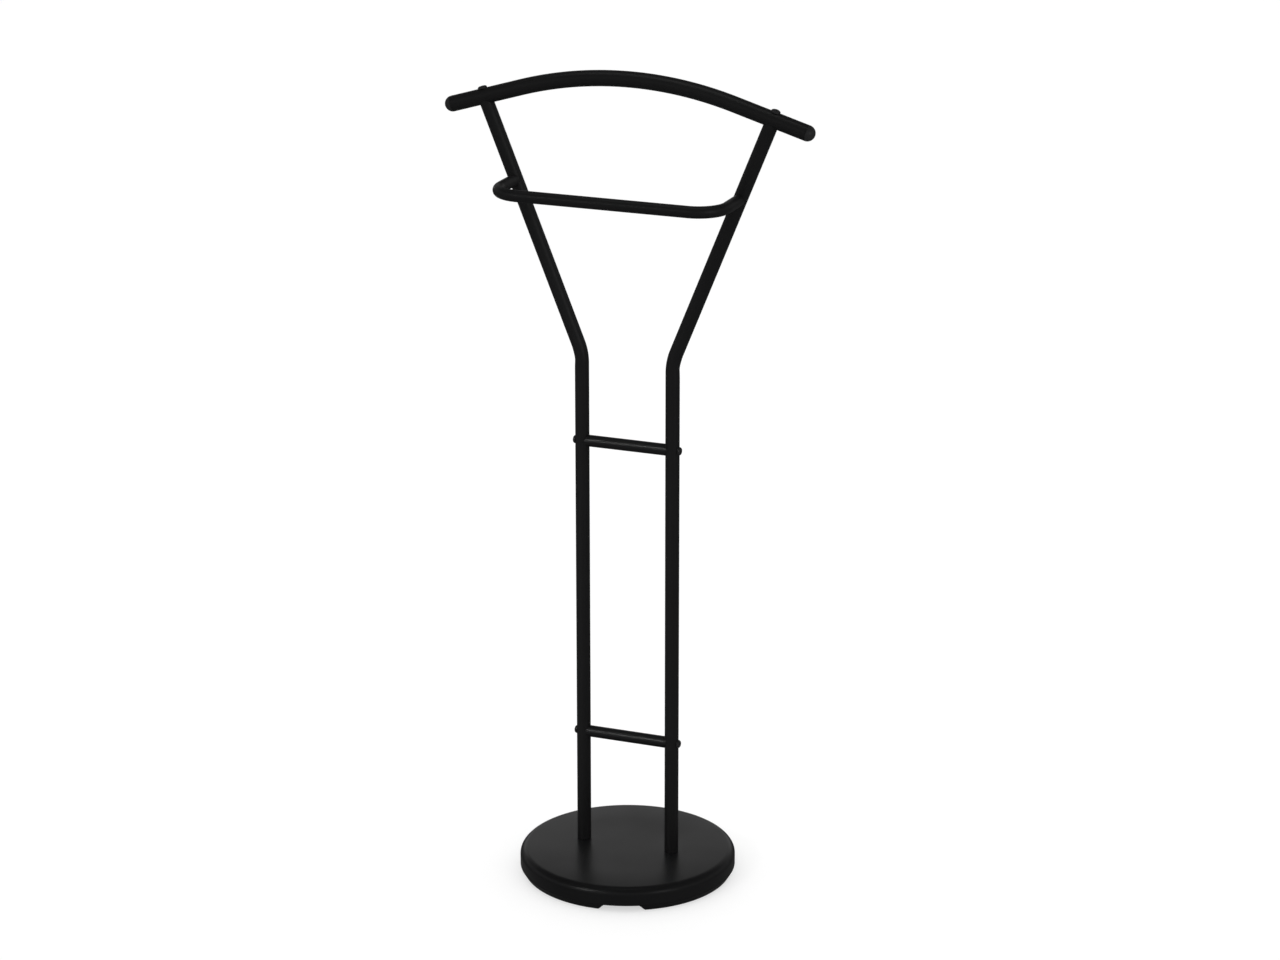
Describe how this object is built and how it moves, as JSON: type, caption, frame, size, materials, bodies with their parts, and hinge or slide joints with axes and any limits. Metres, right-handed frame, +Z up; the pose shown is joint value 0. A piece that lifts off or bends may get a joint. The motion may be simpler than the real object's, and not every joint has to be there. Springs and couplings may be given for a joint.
{
  "type": "valet stand",
  "caption": "Free-standing clothes valet of black bent steel tube on a weighted round base, with a curved shoulder bar, a trouser loop and rungs.",
  "frame": {"origin": "on the floor, under the centre of the round base", "axes": "+Z up; -Y the way the trouser loop stands out, which is the front; +X to the right seen from the front, along the shoulder bar"},
  "size_m": [0.486, 0.28, 1.056],
  "materials": {
    "base_plastic": "moulded black ABS with a fine satin texture",
    "ballast_iron": "raw sand-cast iron",
    "tube_paint": "satin black powder coat on steel tube",
    "bolt_black": "black plated steel, satin",
    "zinc_steel": "bright zinc plate",
    "cap_plastic": "moulded black polyethylene, satin",
    "pad_rubber": "matt rubber"
  },
  "bodies": {
    "root": {"base_cover": "base_plastic", "base_plate": "base_plastic", "base_weight": "ballast_iron", "plate_screws": "zinc_steel", "base_bolts": "zinc_steel", "base_washers": "zinc_steel", "foot_inserts": "zinc_steel", "right_upright": "tube_paint", "left_upright": "tube_paint", "lower_rung": "tube_paint", "upper_rung": "tube_paint", "rung_bolts": "bolt_black", "rung_inserts": "zinc_steel", "trouser_loop": "tube_paint", "loop_bolts": "bolt_black", "loop_inserts": "zinc_steel", "shoulder_bar": "tube_paint", "right_bar_cap": "cap_plastic", "left_bar_cap": "cap_plastic", "bar_bolts": "bolt_black", "top_inserts": "zinc_steel", "foot_pad_1": "pad_rubber", "foot_pad_2": "pad_rubber", "foot_pad_3": "pad_rubber", "foot_pad_4": "pad_rubber"}
  },
  "joints": []
}
